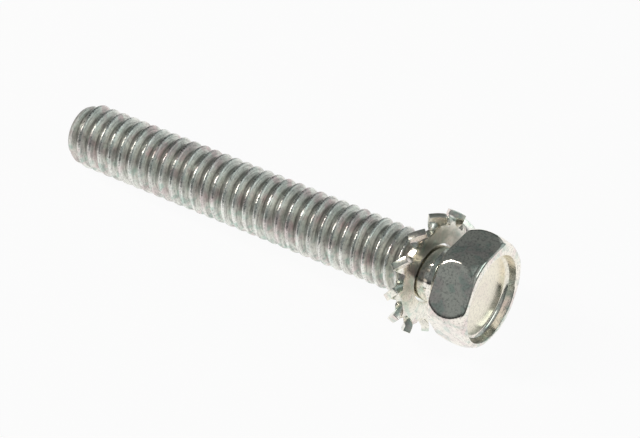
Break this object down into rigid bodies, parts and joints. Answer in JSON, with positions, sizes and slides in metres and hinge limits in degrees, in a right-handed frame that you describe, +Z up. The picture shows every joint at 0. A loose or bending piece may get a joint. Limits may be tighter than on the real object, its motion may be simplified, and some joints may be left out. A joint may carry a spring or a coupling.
{
  "type": "hex head machine screw",
  "caption": "Indented hexagon head machine screw with a captive external tooth lock washer on its neck, bright zinc plated steel.",
  "frame": {"origin": "middle of the face under the head, on the screw's axis", "axes": "+Z up; the screw lies along X with its head at +X, its point 4.2 degrees below level, as it rests on the washer's teeth and the point"},
  "size_m": [0.0308, 0.008, 0.0079],
  "materials": {
    "screw_plating": "bright zinc plating, lightly worn",
    "washer_plating": "bright zinc plating"
  },
  "bodies": {
    "screw": {"screw": "screw_plating"},
    "washer": {"tooth_lock_washer": "washer_plating"}
  },
  "joints": [
    {"name": "washer_spin", "type": "hinge", "parent": "screw", "child": "washer", "pos_m": [-0.00178, 0, -0.00013], "axis": [0.9973, 0, 0.0729], "continuous": true}
  ]
}
